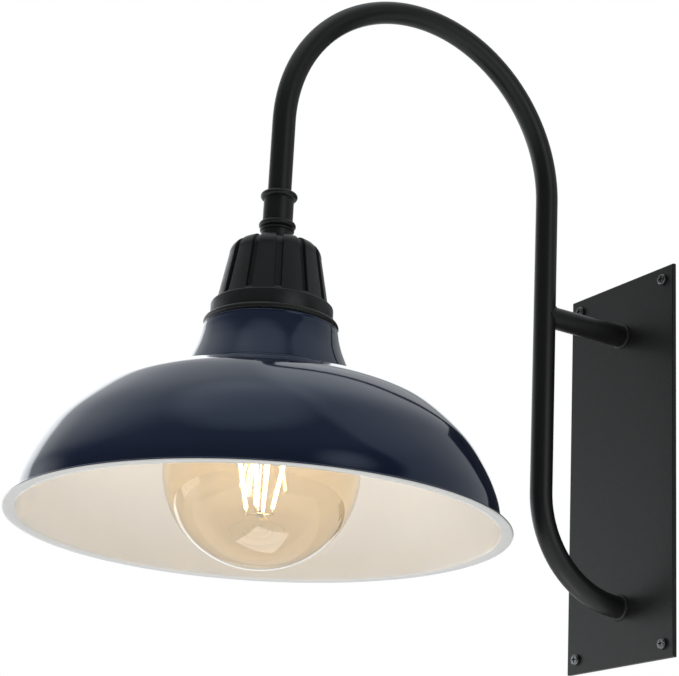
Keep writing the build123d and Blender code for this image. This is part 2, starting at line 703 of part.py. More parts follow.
def filaments():
    return Compound([HEAD * bar_between(low, high, FILAMENT_R) for low, high in filament_points()])


def filament_support():
    """Hub on the end of the stem with a wire arm to the foot of every filament."""
    hub = Pos(0, 0, HUB_Z) * Sphere(HUB_R)
    for low, _ in filament_points():
        foot = (low[0], low[1], low[2] - LEAD_LAP)
        knee = (low[0] * KNEE_SHARE, low[1] * KNEE_SHARE, HUB_Z)
        hub += bar_between((0, 0, HUB_Z), knee, LEAD_R)
        hub += bar_between(knee, foot, LEAD_R) + Pos(*knee) * Sphere(LEAD_R * 1.5)
    stem_end = cylinder_z(ROD_R + FIT_GAP, HUB_Z + ROD_SEAT - FIT_GAP, HUB_Z + 2 * HUB_R)
    return HEAD * (hub - stem_end)


def lead_wires():
    """Wires from the stem to the top of every filament."""
    wires = []
    for _, high in filament_points():
        root = (high[0] * LEAD_ROOT_SHARE, high[1] * LEAD_ROOT_SHARE, STEM_LOW_Z + LEAD_ROOT_RISE)
        top = (high[0], high[1], high[2] + LEAD_LAP)
        wires.append(HEAD * bar_between(root, top, LEAD_R))
    return Compound(wires)


def driver_board():
    """Small ballast board upright in the lamp's base."""
    return HEAD * Pos(0, 0, BOARD_Z) * Box(BOARD_WIDTH, BOARD_THICKNESS, BOARD_HEIGHT)


NODES = {
    "backplate": backplate,
    "plate_screws": plate_screws,
    "gooseneck_tube": gooseneck_tube,
    "strut_tube": strut_tube,
    "weld_beads": weld_beads,
    "wire_bushing": wire_bushing,
    "collar": collar,
    "collar_set_screw": collar_set_screw,
    "nipple": nipple,
    "nipple_locknuts": nipple_locknuts,
    "cap": cap,
    "fitter_ring": lambda: clamp_ring(FITTER_R, FITTER_LOW_Z, CAP_LOW_Z),
    "shade_gasket": lambda: clamp_ring(GASKET_R, SHADE_TOP_Z, FITTER_LOW_Z, GASKET_ROUND),
    "shade": shade,
    "retaining_ring": lambda: clamp_ring(
        RETAINER_R, SHADE_TOP_Z - SHADE_WALL - RETAINER_THICKNESS, SHADE_TOP_Z - SHADE_WALL
    ),
    "clamp_screws": clamp_screws,
    "socket_bracket": socket_bracket,
    "socket_screws": socket_screws,
    "ground_screw": ground_screw,
    "socket_body": socket_body,
    "socket_shell": socket_shell,
    "socket_centre_contact": socket_centre_contact,
    "terminal_posts": terminal_posts,
    "live_wire": lambda: supply_wire(-1),
    "neutral_wire": lambda: supply_wire(1),
    "ground_wire": ground_wire,
    "bulb_glass": bulb_glass,
    "bulb_base_shell": bulb_base_shell,
    "bulb_base_insulator": bulb_base_insulator,
    "bulb_base_contact": bulb_base_contact,
    "bulb_stem": bulb_stem,
    "filaments": filaments,
    "filament_support": filament_support,
    "lead_wires": lead_wires,
    "driver_board": driver_board,
}

os.makedirs("parts", exist_ok=True)
for name, build in NODES.items():
    export_step(build(), f"parts/{name}.step")
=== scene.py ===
import json
import math

import bmesh
import bpy
from mathutils import Matrix, Vector


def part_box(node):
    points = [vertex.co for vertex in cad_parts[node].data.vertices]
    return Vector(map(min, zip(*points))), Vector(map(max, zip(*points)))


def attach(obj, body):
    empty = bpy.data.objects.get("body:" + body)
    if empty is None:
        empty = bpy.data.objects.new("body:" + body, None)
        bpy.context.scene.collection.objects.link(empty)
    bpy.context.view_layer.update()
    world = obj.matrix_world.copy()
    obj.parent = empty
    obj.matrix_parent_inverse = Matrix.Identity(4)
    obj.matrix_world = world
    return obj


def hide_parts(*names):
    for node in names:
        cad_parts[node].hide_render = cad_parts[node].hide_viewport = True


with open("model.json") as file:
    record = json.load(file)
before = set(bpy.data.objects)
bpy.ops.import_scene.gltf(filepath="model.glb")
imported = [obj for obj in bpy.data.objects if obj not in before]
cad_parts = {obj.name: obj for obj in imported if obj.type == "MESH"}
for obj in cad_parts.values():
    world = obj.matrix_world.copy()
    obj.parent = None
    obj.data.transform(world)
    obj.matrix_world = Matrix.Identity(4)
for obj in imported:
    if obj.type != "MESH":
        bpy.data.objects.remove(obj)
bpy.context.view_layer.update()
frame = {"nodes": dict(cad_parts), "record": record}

MM = 0.001
scene = bpy.context.scene


def centre(node):
    """Middle of a CAD node's box."""
    low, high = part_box(node)
    return (Vector(low) + Vector(high)) / 2


HEAD_Y = centre("shade").y
TUBE_R = (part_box("strut_tube")[1][0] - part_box("strut_tube")[0][0]) / 2
FRONT_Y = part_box("backplate")[0][1]
STRUT_Z = centre("strut_tube").z
UPRIGHT_Y = FRONT_Y - 71.2 * MM
ENTRY_Z = -101 * MM
BEND_R = 71.2 * MM
TUBE_WALL = 1.5 * MM
ARM_END_Z = 112 * MM
WELD_LEG = 1.7 * MM
SADDLE_BEAD_R = 0.75 * MM
SADDLE_BEAD_OUT = 0.1 * MM
FLOOR_Z = -0.62
ARCH_R = (UPRIGHT_Y - HEAD_Y) / 2
ARCH_Z = 188.3 * MM

# ---------------------------------------------------------------- materials


class Nodes:
    """Small helper that adds nodes to one material."""

    def __init__(self, name):
        self.mat = bpy.data.materials.new(name)
        self.mat.use_nodes = True
        self.tree = self.mat.node_tree
        self.shader = self.tree.nodes["Principled BSDF"]
        self.coord = self.add("ShaderNodeTexCoord")

    def add(self, kind, **inputs):
        """New node, with its input values given by name."""
        node = self.tree.nodes.new(kind)
        for key, value in inputs.items():
            node.inputs[key.replace("_", " ")].default_value = value
        return node

    def link(self, a, b):
        self.tree.links.new(a, b)

    def noise(self, scale, detail=3.0, stretch=(1, 1, 1)):
        """Noise over the object, in features per metre."""
        mapping = self.add("ShaderNodeMapping")
        mapping.inputs["Scale"].default_value = stretch
        self.link(self.coord.outputs["Object"], mapping.inputs["Vector"])
        noise = self.add("ShaderNodeTexNoise", Scale=scale, Detail=detail)
        self.link(mapping.outputs["Vector"], noise.inputs["Vector"])
        return noise.outputs["Fac"]

    def ramp(self, factor, stops):
        """Colour that runs through the stops as the factor rises."""
        node = self.add("ShaderNodeValToRGB")
        ramp = node.color_ramp
        while len(ramp.elements) < len(stops):
            ramp.elements.new(0.5)
        for element, (place, colour) in zip(ramp.elements, stops):
            element.position = place
            element.color = colour
        self.link(factor, node.inputs["Fac"])
        return node.outputs["Color"]

    def span(self, factor, low, high, start=0.3, end=0.7):
        """Value that goes from low to high while the factor goes from start to end."""
        node = self.add("ShaderNodeMapRange")
        for key, value in (("From Min", start), ("From Max", end), ("To Min", low), ("To Max", high)):
            node.inputs[key].default_value = value
        self.link(factor, node.inputs["Value"])
        return node.outputs["Result"]

    def bump(self, height, strength, distance):
        """Surface normal raised by a height pattern."""
        node = self.add("ShaderNodeBump", Strength=strength, Distance=distance)
        self.link(height, node.inputs["Height"])
        return node.outputs["Normal"]


def shade_colour(colour, gain):
    """Lighter or darker copy of a colour, with full alpha."""
    return tuple(min(1.0, c * gain) for c in colour[:3]) + (1.0,)


def material(name, colour, rough, metallic=0.0, coat=0.0, coat_rough=0.04, grain=900, grain_depth=0.02,
             grain_strength=0.35, blotch=45, vary=0.18, rough_vary=0.08, wear=0.0, wear_colour=None,
             stretch=(1, 1, 1), specular=0.5, tint=(1, 1, 1)):
    """Layered finish: blotchy colour, uneven roughness, fine surface grain and worn edges."""
    n = Nodes(name)
    s = n.shader
    s.inputs["Metallic"].default_value = metallic
    s.inputs["Coat Weight"].default_value = coat
    s.inputs["Coat Roughness"].default_value = coat_rough
    s.inputs["Specular IOR Level"].default_value = specular
    s.inputs["Specular Tint"].default_value = (*tint, 1.0)
    tone = n.ramp(n.noise(blotch, 5.0, stretch), [(0.3, shade_colour(colour, 1 - vary)),
                                                  (0.7, shade_colour(colour, 1 + vary))])
    if wear:
        geometry = n.add("ShaderNodeNewGeometry")
        edge = n.span(geometry.outputs["Pointiness"], 0.0, wear, 0.52, 0.58)
        broken = n.add("ShaderNodeMath")
        broken.operation = "MULTIPLY"
        n.link(edge, broken.inputs[0])
        n.link(n.span(n.noise(420, 4.0), 0.0, 1.0, 0.42, 0.6), broken.inputs[1])
        mix = n.add("ShaderNodeMix")
        mix.data_type = "RGBA"
        n.link(broken.outputs[0], mix.inputs["Factor"])
        n.link(tone, mix.inputs["A"])
        mix.inputs["B"].default_value = shade_colour(wear_colour or colour, 1.0)
        tone = mix.outputs["Result"]
    n.link(tone, s.inputs["Base Color"])
    n.link(n.span(n.noise(blotch * 4.3, 4.0, stretch), max(0.0, rough - rough_vary), rough + rough_vary),
           s.inputs["Roughness"])
    n.link(n.bump(n.noise(grain, 2.0, stretch), grain_strength, grain_depth * MM), s.inputs["Normal"])
    return n.mat


def glass_material(name, colour, rough, ior=1.45):
    """Thin blown glass with faint waviness and a trace of dust."""
    n = Nodes(name)
    s = n.shader
    s.inputs["Transmission Weight"].default_value = 1.0
    s.inputs["IOR"].default_value = ior
    tone = n.ramp(n.noise(14, 3.0), [(0.3, shade_colour(colour, 0.97)), (0.7, shade_colour(colour, 1.02))])
    n.link(tone, s.inputs["Base Color"])
    n.link(n.span(n.noise(60, 4.0), rough, rough + 0.02), s.inputs["Roughness"])
    n.link(n.bump(n.noise(22, 2.0), 0.05, 0.3 * MM), s.inputs["Normal"])
    return n.mat


def glow_material(name, colour, strength):
    """Lit phosphor stick, with small beads along it."""
    n = Nodes(name)
    s = n.shader
    s.inputs["Roughness"].default_value = 0.5
    beads = n.noise(700, 2.0)
    tone = n.ramp(beads, [(0.3, shade_colour(colour, 0.85)), (0.7, shade_colour(colour, 1.0))])
    n.link(tone, s.inputs["Base Color"])
    n.link(tone, s.inputs["Emission Color"])
    s.inputs["Emission Strength"].default_value = strength
    n.link(n.bump(beads, 0.3, 0.05 * MM), s.inputs["Normal"])
    return n.mat


BLACK = (0.011, 0.011, 0.011)
STEEL = (0.55, 0.55, 0.53)
COATED = material("black_powder_coat", BLACK, 0.37, grain=1500, grain_depth=0.02, grain_strength=0.15,
                  blotch=30, vary=0.03, rough_vary=0.012, wear=0.1, wear_colour=(0.05, 0.05, 0.05))
MATERIALS = {
    "black_coat": COATED,
    "screw_black": material("screw_black", (0.2, 0.2, 0.205), 0.17, metallic=1.0, grain=2500,
                            grain_depth=0.01, wear=0.35, wear_colour=(0.45, 0.45, 0.45)),
    "cast_black": material("cast_black", (0.018, 0.019, 0.0195), 0.36, blotch=60, vary=0.08, rough_vary=0.04,
                           grain=1100, grain_depth=0.05, wear=0.3, wear_colour=(0.14, 0.14, 0.14)),
    "black_plastic": material("bushing_plastic", (0.02, 0.02, 0.02), 0.5, grain=900),
    "zinc_steel": material("zinc_steel", STEEL, 0.32, metallic=1.0, grain=1200, grain_depth=0.02, blotch=260,
                           vary=0.12, wear=0.2, wear_colour=(0.75, 0.75, 0.72)),
    "gasket_rubber": material("gasket_rubber", (0.012, 0.012, 0.011), 0.34, grain=1300, grain_depth=0.25,
                              grain_strength=0.9, blotch=700, vary=0.5, rough_vary=0.12),
    "ground_green": material("ground_green", (0.03, 0.2, 0.06), 0.3, metallic=0.6, grain=1500, blotch=300),
    "porcelain": material("porcelain", (0.82, 0.8, 0.74), 0.1, coat=1.0, grain=160, grain_depth=0.05,
                          blotch=40, vary=0.05),
    "socket_brass": material("socket_brass", (0.78, 0.56, 0.24), 0.24, metallic=1.0, grain=1600, blotch=300,
                             vary=0.15),
    "wire_black": material("wire_black", (0.02, 0.02, 0.02), 0.45, grain=900, blotch=200),
    "wire_white": material("wire_white", (0.8, 0.8, 0.78), 0.45, grain=900, blotch=200, vary=0.06),
    "wire_green": material("wire_green", (0.03, 0.22, 0.06), 0.45, grain=900, blotch=200),
    "nickel_brass": material("nickel_brass", (0.72, 0.7, 0.64), 0.2, metallic=1.0, grain=1500, blotch=260,
                             vary=0.1, wear=0.2, wear_colour=(0.85, 0.84, 0.8)),
    "dark_glass": material("vitrite", (0.015, 0.01, 0.02), 0.08, coat=1.0, grain=300, grain_depth=0.04),
    "solder_tip": material("solder_tip", (0.6, 0.6, 0.6), 0.3, metallic=1.0, grain=900, grain_depth=0.1,
                           blotch=500),
    "clear_glass": glass_material("stem_glass", (0.97, 0.97, 0.97), 0.0),
    "amber_glass": glass_material("amber_glass", (1.0, 0.9, 0.75), 0.0, ior=1.85),
    "glowing_phosphor": glow_material("phosphor", (1.0, 0.72, 0.36), 38.0),
    "bright_wire": material("bright_wire", (0.75, 0.74, 0.72), 0.18, metallic=1.0, grain=2500, blotch=900),
    "board_green": material("circuit_board", (0.03, 0.16, 0.07), 0.35, grain=700, blotch=420, vary=0.5),
}
NAVY = material("navy_enamel", (0.0135, 0.022, 0.055), 0.1, coat=0.75, coat_rough=0.02, grain=120,
                grain_depth=0.02, grain_strength=0.05, blotch=18, vary=0.04, rough_vary=0.02, specular=0.4,
                tint=(0.35, 0.62, 1.0))
WHITE = material("white_enamel", (0.86, 0.85, 0.82), 0.22, coat=0.5, coat_rough=0.08, grain=140,
                 grain_depth=0.03, grain_strength=0.15, blotch=16, vary=0.025, rough_vary=0.05)
MATERIALS["navy_enamel"] = NAVY

# ---------------------------------------------------------------- mesh helpers


def piece(name, mesh, mats, body, replaced, angle=32):
    """Turns a mesh into a finished piece that rides on a body and stands for CAD nodes."""
    for mat in mats:
        mesh.materials.append(mat)
    mesh.shade_smooth()
    mesh.set_sharp_from_angle(angle=math.radians(angle))
    obj = bpy.data.objects.new(name, mesh)
    scene.collection.objects.link(obj)
    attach(obj, body)
    if replaced:
        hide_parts(*replaced)
    return obj


def finish_mesh(name, bm):
    """Mesh from a bmesh, with its faces turned outwards."""
    bmesh.ops.recalc_face_normals(bm, faces=bm.faces)
    mesh = bpy.data.meshes.new(name)
    bm.to_mesh(mesh)
    bm.free()
    return mesh


def smooth(points, steps=8):
    """Even curve through the points (Catmull-Rom)."""
    pts = [Vector(p) for p in points]
    pts = [2 * pts[0] - pts[1]] + pts + [2 * pts[-1] - pts[-2]]
    out = []
    for a, b, c, d in zip(pts, pts[1:], pts[2:], pts[3:]):
        for i in range(steps):
            t = i / steps
            out.append(0.5 * ((2 * b) + (c - a) * t + (2 * a - 5 * b + 4 * c - d) * t * t
                              + (3 * b - a - 3 * c + d) * t ** 3))
    out.append(pts[-2])
    return [tuple(p) for p in out]


def arc(cx, cz, r, start, end, steps=8):
    """Points on a circular arc in the outline plane, angles in degrees."""
    return [(cx + r * math.cos(math.radians(start + (end - start) * i / steps)),
             cz + r * math.sin(math.radians(start + (end - start) * i / steps))) for i in range(steps + 1)]


def around(count):
    """Cosine and sine of even steps round a full turn."""
    turns = [2 * math.pi * i / count for i in range(count)]
    return [(math.cos(a), math.sin(a)) for a in turns]


def skin(bm, rings, closed=False):
    """Faces between each ring of points and the next."""
    after = rings[1:] + rings[:1] if closed else rings[1:]
    for low, high in zip(rings, after):
        for i in range(len(low)):
            j = (i + 1) % len(low)
            bm.faces.new((low[i], low[j], high[j], high[i]))


def lathe(bm, outline, segments=160, closed=True, mat_at=None, origin=(0, 0, 0), turn=None):
    """Spins an outline of (radius, height) in millimetres round the Z axis."""
    turn = turn or Matrix.Identity(4)
    rings = []
    for r, z in outline:
        if r < 1e-6:
            rings.append([bm.verts.new(turn @ Vector((0, 0, z * MM)) + Vector(origin))])
            continue
        rings.append([bm.verts.new(turn @ Vector((r * MM * c, r * MM * s, z * MM)) + Vector(origin))
                      for c, s in around(segments)])
    pairs = list(zip(rings, rings[1:]))
    if closed:
        pairs.append((rings[-1], rings[0]))
    for k, (low, high) in enumerate(pairs):
        for i in range(segments):
            j = (i + 1) % segments
            if len(low) == 1 and len(high) == 1:
                continue
            if len(low) == 1:
                face = bm.faces.new((low[0], high[j], high[i]))
            elif len(high) == 1:
                face = bm.faces.new((low[i], low[j], high[0]))
            else:
                face = bm.faces.new((low[i], low[j], high[j], high[i]))
            if mat_at:
                face.material_index = mat_at(k)


def sweep(bm, path, radius, hollow, segments):
    """Round tube along a path in the YZ plane, given as (point, tangent) pairs."""

    def ring_at(point, tangent, r):
        side = Vector((1, 0, 0))
        up = side.cross(tangent).normalized()
        return [bm.verts.new(point + r * (c * side + s * up)) for c, s in around(segments)]

    outer = [ring_at(p, t, radius) for p, t in path]
    inner = [ring_at(p, t, hollow) for p, t in path]
    skin(bm, outer)
    skin(bm, inner)
    for end in (0, -1):
        skin(bm, [outer[end], inner[end]])


def arm_path(end_z):
    """The gooseneck's centre line as (point, tangent) pairs."""
    path = []
    for i in range(25):
        a = math.radians(90 * i / 24)
        path.append((Vector((0, FRONT_Y - BEND_R * math.sin(a), ENTRY_Z + BEND_R * (1 - math.cos(a)))),
                     Vector((0, -math.cos(a), math.sin(a)))))
    low = ENTRY_Z + BEND_R
    for i in range(1, 12):
        path.append((Vector((0, UPRIGHT_Y, low + (ARCH_Z - low) * i / 12)), Vector((0, 0, 1))))
    for i in range(73):
        a = math.radians(180 * i / 72)
        path.append((Vector((0, UPRIGHT_Y - ARCH_R + ARCH_R * math.cos(a), ARCH_Z + ARCH_R * math.sin(a))),
                     Vector((0, -math.sin(a), math.cos(a)))))
    for i in range(1, 7):
        path.append((Vector((0, HEAD_Y, ARCH_Z + (end_z - ARCH_Z) * i / 6)), Vector((0, 0, -1))))
    return path


HEAD = (0, HEAD_Y, 0)

# ---------------------------------------------------------------- arm

bm = bmesh.new()
sweep(bm, arm_path(ARM_END_Z), TUBE_R, TUBE_R - TUBE_WALL, 64)
piece("gooseneck", finish_mesh("gooseneck", bm), [COATED], "fixture", ["gooseneck_tube"])


def saddle_points(count=96):
    """Points where the strut's skin meets the upright tube's skin."""
    points = []
    for i in range(count):
        a = 2 * math.pi * i / count
        x = TUBE_R * math.cos(a)
        reach = math.sqrt(max(0.0, TUBE_R ** 2 - min(abs(x), TUBE_R) ** 2))
        points.append(Vector((x, UPRIGHT_Y + reach, STRUT_Z + TUBE_R * math.sin(a))))
    return points


def strut():
    """Straight tube whose outer end is coped round the upright."""
    bm = bmesh.new()
    cope = saddle_points()
    rings = []
    for k in range(9):
        t = k / 8
        rings.append([bm.verts.new((p.x, p.y + (FRONT_Y - p.y) * t, p.z)) for p in cope])
    skin(bm, rings)
    bm.faces.new(rings[-1])
    bm.faces.new(rings[0])
    bmesh.ops.triangulate(bm, faces=[f for f in bm.faces if len(f.verts) > 4])
    return finish_mesh("strut", bm)


piece("strut", strut(), [COATED], "fixture", ["strut_tube"])


def plate_bead(bm, z):
    """Rounded, slightly rippled weld ring round a tube on the plate."""
    count, across = 144, 9
    rings = []
    for k in range(across):
        a = math.radians(90 * k / (across - 1))
        ring = []
        for i in range(count):
            t = 2 * math.pi * i / count
            ripple = 1 + 0.06 * math.sin(t * 31) + 0.03 * math.sin(t * 7 + 1.3)
            out = TUBE_R + WELD_LEG * ripple * (math.cos(a) * 0.92 if k < across - 1 else 0.0)
            rise = WELD_LEG * ripple * math.sin(a)
            ring.append(bm.verts.new((out * math.cos(t), FRONT_Y - rise, z + out * math.sin(t))))
        rings.append(ring)
    foot_r = TUBE_R * 0.97
    rings.append([bm.verts.new((foot_r * c, FRONT_Y, z + foot_r * s)) for c, s in around(count)])
    skin(bm, rings, closed=True)


def saddle_bead(bm):
    """Weld bead in the corner between the strut and the upright."""
    count, across = 144, 10
    path = saddle_points(count)
    rings = []
    for i, p in enumerate(path):
        a = 2 * math.pi * i / count
        along = Vector((0, 1, 0))
        outward = Vector((math.cos(a), 0, math.sin(a)))
        ripple = 1 + 0.07 * math.sin(a * 29)
        r = SADDLE_BEAD_R * ripple
        middle = p + SADDLE_BEAD_OUT * (along + outward)
        rings.append([bm.verts.new(middle + r * (c * along + s * outward)) for c, s in around(across)])
    skin(bm, rings, closed=True)


bm = bmesh.new()
plate_bead(bm, ENTRY_Z)
plate_bead(bm, STRUT_Z)
saddle_bead(bm)
piece("welds", finish_mesh("welds", bm), [COATED], "fixture", ["weld_beads"], angle=60)

# ---------------------------------------------------------------- collar, cap, rings

collar = ([(10.6, 98.0), (10.6, 106.9)] + arc(10.55, 107.9, 0.95, -90, 90, 8)
          + [(10.5, 109.2)] + arc(10.2, 111.5, 2.2, -88, 88, 14)
          + [(10.1, 113.9), (10.1, 130.1)] + arc(10.1, 132.5, 2.3, -90, 90, 14)
          + [(9.4, 134.8), (8.05, 134.6), (8.05, 112.0), (5.0, 112.0), (5.0, 98.0)])
bm = bmesh.new()
lathe(bm, collar, 128, origin=HEAD)
piece("collar_turned", finish_mesh("collar_turned", bm), [COATED], "fixture", ["collar"])


CAP_LOW_Z = 54.0
CAP_SHOULDER_Z = 88.0
CAP_SIDE = [(CAP_LOW_Z, 37.2), (58.0, 36.35), (CAP_SHOULDER_Z, 30.8)]
SHOULDER_WIDTH = 9.8
SHOULDER_RISE = 10.0
RIB_COUNT = 12
FIRST_GROOVE = 4.2
GROOVE_DEPTH = 2.8


def cap_radius(z):
    """Outer radius of the ribs at a height, both in millimetres."""
    for (z0, r0), (z1, r1) in zip(CAP_SIDE, CAP_SIDE[1:]):
        if z <= z1:
            return r0 + (r1 - r0) * (z - z0) / (z1 - z0)
    return CAP_SIDE[-1][1]


def rib_places(r):
    """Angles round one ring of the cap, dense at the groove walls, with each one's groove depth share."""
    walls = (3.0, 2.75, 2.6, 2.5, 2.4, 2.3, 2.2, 2.0, 1.0)
    share = (0.0, 0.0, 0.04, 0.14, 0.5, 0.86, 0.96, 1.0, 1.0)
    places = []
    pitch = 360 / RIB_COUNT
    for rib in range(RIB_COUNT):
        middle = math.radians(FIRST_GROOVE + pitch * rib)
        places += [(middle - w / r, d) for w, d in zip(walls, share)] + [(middle, 1.0)]
        places += [(middle + w / r, d) for w, d in reversed(list(zip(walls, share)))]
        start, end = middle + walls[0] / r, middle + math.radians(pitch) - walls[0] / r
        places += [(start + (end - start) * k / 9, 0.0) for k in range(1, 9)]
    return places


def cap_mesh():
    """Bell with twelve wide flat-faced ribs, parted by narrow grooves that run out at the shoulder."""
    bm = bmesh.new()
    side_steps = 44
    heights = [CAP_LOW_Z + i * (CAP_SHOULDER_Z - CAP_LOW_Z) / side_steps for i in range(side_steps + 1)]
    outline = [(cap_radius(z), z) for z in heights]
    for degrees in range(6, 91, 6):
        a = math.radians(degrees)
        outline.append((cap_radius(CAP_SHOULDER_Z) - SHOULDER_WIDTH * (1 - math.cos(a)),
                        CAP_SHOULDER_Z + SHOULDER_RISE * math.sin(a)))
    outline += [(19.5, 98.0), (14.0, 98.0), (9.0, 98.0), (4.95, 98.0)]
    rings = []
    for r, z in outline:
        fade = min(1.0, max(0.0, (z - 56.2) / 0.8)) * min(1.0, max(0.0, (r - 20.5) / 2.5))
        ring = []
        for a, share in rib_places(r):
            depth = GROOVE_DEPTH * share * fade
            ring.append(bm.verts.new(((r - depth) * MM * math.cos(a), HEAD_Y + (r - depth) * MM * math.sin(a),
                                      z * MM)))
        rings.append(ring)
    for r, z in [(4.95, 94.5), (17.0, 94.5), (24.5, 88.0), (31.0, 58.0), (31.0, 54.0)]:
        rings.append([bm.verts.new((r * MM * math.cos(a), HEAD_Y + r * MM * math.sin(a), z * MM))
                      for a, _ in rib_places(r)])
    skin(bm, rings, closed=True)
    return finish_mesh("cap_ribbed", bm)


piece("cap_ribbed", cap_mesh(), [MATERIALS["cast_black"]], "fixture", ["cap"], angle=42)

bm = bmesh.new()
lathe(bm, [(24.0, 43.0), (39.6, 43.0)] + arc(39.6, 43.8, 0.8, -90, 0, 5)
      + arc(39.2, 52.8, 1.2, 0, 90, 6) + [(24.0, 54.0)], 160, origin=HEAD)
piece("fitter_band", finish_mesh("fitter_band", bm), [MATERIALS["cast_black"]], "fixture",
      ["fitter_ring"])

bm = bmesh.new()
gasket = [(24.0, 38.0), (42.0, 38.0)] + arc(42.0, 40.5, 2.5, -80, 80, 12)[1:-1] + [(42.0, 43.0), (24.0, 43.0)]
lathe(bm, gasket, 200, origin=HEAD)
piece("gasket_ring", finish_mesh("gasket_ring", bm), [MATERIALS["gasket_rubber"]], "fixture",
      ["shade_gasket"])

# ---------------------------------------------------------------- shade

DOME = [(60.4, 0.2), (87.0, -7.0), (101.2, -12.9), (116.5, -21.9), (134.4, -39.8), (145.3, -57.6),
        (152.2, -75.5), (154.5, -92.0)]
SHADE_WALL = 1.2


def inset(points, distance):
    """Points moved square to their own chain, towards the inside of the shade."""
    out = []
    for i, (r, z) in enumerate(points):
        a, b = points[max(i - 1, 0)], points[min(i + 1, len(points) - 1)]
        dr, dz = b[0] - a[0], b[1] - a[1]
        length = math.hypot(dr, dz)
        out.append((r + distance * dz / length, z - distance * dr / length))
    return out


def shade_mesh():
    neck = smooth([(44.6, 36.4), (45.0, 34.5), (45.7, 31.0), (46.8, 27.0), (48.3, 22.5), (50.1, 18.0),
                   (52.1, 13.4), (54.3, 8.5), (56.4, 3.7)], 4)
    seam = arc(57.2, 2.55, 1.0, 150, -60, 8) + arc(59.0, 1.1, 0.75, 150, -75, 6)
    dome = smooth(DOME, 10)
    outside = [(24.0, 38.0), (43.6, 38.0)] + arc(43.75, 37.0, 1.0, 80, 10, 5) + neck + seam + dome
    rim_top = [(154.9, -92.6), (155.6, -92.95), (158.5, -93.0), (160.9, -93.0)]
    rim_top += arc(160.8, -94.0, 1.0, 75, -10, 6)
    rim_low = [(161.4, -94.75), (160.8, -95.0), (158.0, -95.0), (155.2, -94.9), (154.0, -94.4),
               (153.4, -93.2)]
    inside = list(reversed(inset(neck[::3] + [(57.4, 1.6)] + dome, SHADE_WALL)))
    inside += [(43.4, 36.8), (24.0, 36.8)]
    outline = outside + rim_top + rim_low + inside
    split = len(outside) + len(rim_top) - 1
    last = len(outline) - 3
    bm = bmesh.new()
    lathe(bm, outline, 256, mat_at=lambda k: 1 if split <= k < last else 0, origin=HEAD)
    return finish_mesh("shade_spun", bm)


piece("shade_spun", shade_mesh(), [NAVY, WHITE], "fixture", ["shade"], angle=40)

# ---------------------------------------------------------------- lamp


GLOBE_R = 63.5
GLOBE_Z = -57.4
LAMP_NECK_R = 12.0
LAMP_NECK_Z = 24.5
LAMP_NECK_TOP_Z = 33.0
GLASS_WALL = 0.8
LEAVE_ANGLE = 50


def bezier(start, first, second, stop, t):
    """Point on a cubic curve."""
    u = 1 - t
    return tuple(start * u ** 3 + 3 * first * t * u ** 2 + 3 * second * t * t * u + stop * t ** 3)


def globe_outline(radius, neck_r):
    """Ball that flows into a straight neck."""
    low = arc(0, GLOBE_Z, radius, -90, LEAVE_ANGLE, 60)
    a = math.radians(LEAVE_ANGLE)
    tangent = Vector((-math.sin(a), math.cos(a)))
    start, stop = Vector(low[-1]), Vector((neck_r, LAMP_NECK_Z))
    reach, steps = 24.0, 24
    first = start + tangent * reach
    second = stop - Vector((0, 1)) * reach * 0.8
    flow = [bezier(start, first, second, stop, i / steps) for i in range(1, steps + 1)]
    return low + flow + [(neck_r, LAMP_NECK_TOP_Z)]


bm = bmesh.new()
outer = globe_outline(GLOBE_R, LAMP_NECK_R)
inner = globe_outline(GLOBE_R - GLASS_WALL, LAMP_NECK_R - GLASS_WALL)
outer[0] = (0.0, outer[0][1])
inner[0] = (0.0, inner[0][1])
lathe(bm, outer + list(reversed(inner)), 128, closed=False, origin=HEAD)
piece("globe", finish_mesh("globe", bm), [MATERIALS["amber_glass"]], "bulb", ["bulb_glass"],
      angle=60)


def stick(bm, low, high, radius, segments=16):
    """Round-ended bar between two points, in millimetres from the head axis."""
    a, b = Vector(low), Vector(high)
    length = (b - a).length
    turn = (b - a).to_track_quat("Z", "Y").to_matrix().to_4x4()
    end_rise = radius * 0.9
    turns = [math.radians(t) for t in (0, 30, 60)]
    rounding = [(radius * math.cos(t), end_rise * math.sin(t)) for t in turns]
    outline = [(0.0, -end_rise)] + [(r, -z) for r, z in reversed(rounding)]
    outline += [(r, length + z) for r, z in rounding] + [(0.0, length + end_rise)]
    lathe(bm, outline, segments, closed=False, origin=Vector((a.x, a.y, a.z)) * MM + Vector(HEAD), turn=turn)


def spoke(index, radius, z):
    """Point on one of four spokes round the head axis, in millimetres."""
    a = math.radians(45 + 90 * index)
    return (radius * math.cos(a), radius * math.sin(a), z)


bm = bmesh.new()
for i in range(4):
    stick(bm, spoke(i, 8.75, -81.5), spoke(i, 15.85, -45.4), 1.15, 20)
piece("filament_sticks", finish_mesh("filament_sticks", bm), [MATERIALS["glowing_phosphor"]], "bulb",
      ["filaments"])

bm = bmesh.new()
for i in range(4):
    stick(bm, (0, 0, -86.0), spoke(i, 9.0, -86.0), 0.4, 10)
    stick(bm, spoke(i, 9.0, -86.0), spoke(i, 8.7, -82.4), 0.4, 10)
lathe(bm, [(0.0, -88.2)] + arc(0, -86.0, 2.2, -75, 60, 10) + [(1.7, -83.6), (0.0, -83.6)], 32, closed=False,
      origin=HEAD)
piece("filament_star", finish_mesh("filament_star", bm), [MATERIALS["bright_wire"]], "bulb",
      ["filament_support"])

# ---------------------------------------------------------------- other CAD nodes

for sub in frame["record"]["subparts"]:
    node = frame["nodes"][sub["node"]]
    node.data.materials.clear()
    node.data.materials.append(MATERIALS[sub["material_slot"]])

# ---------------------------------------------------------------- stage, light, camera


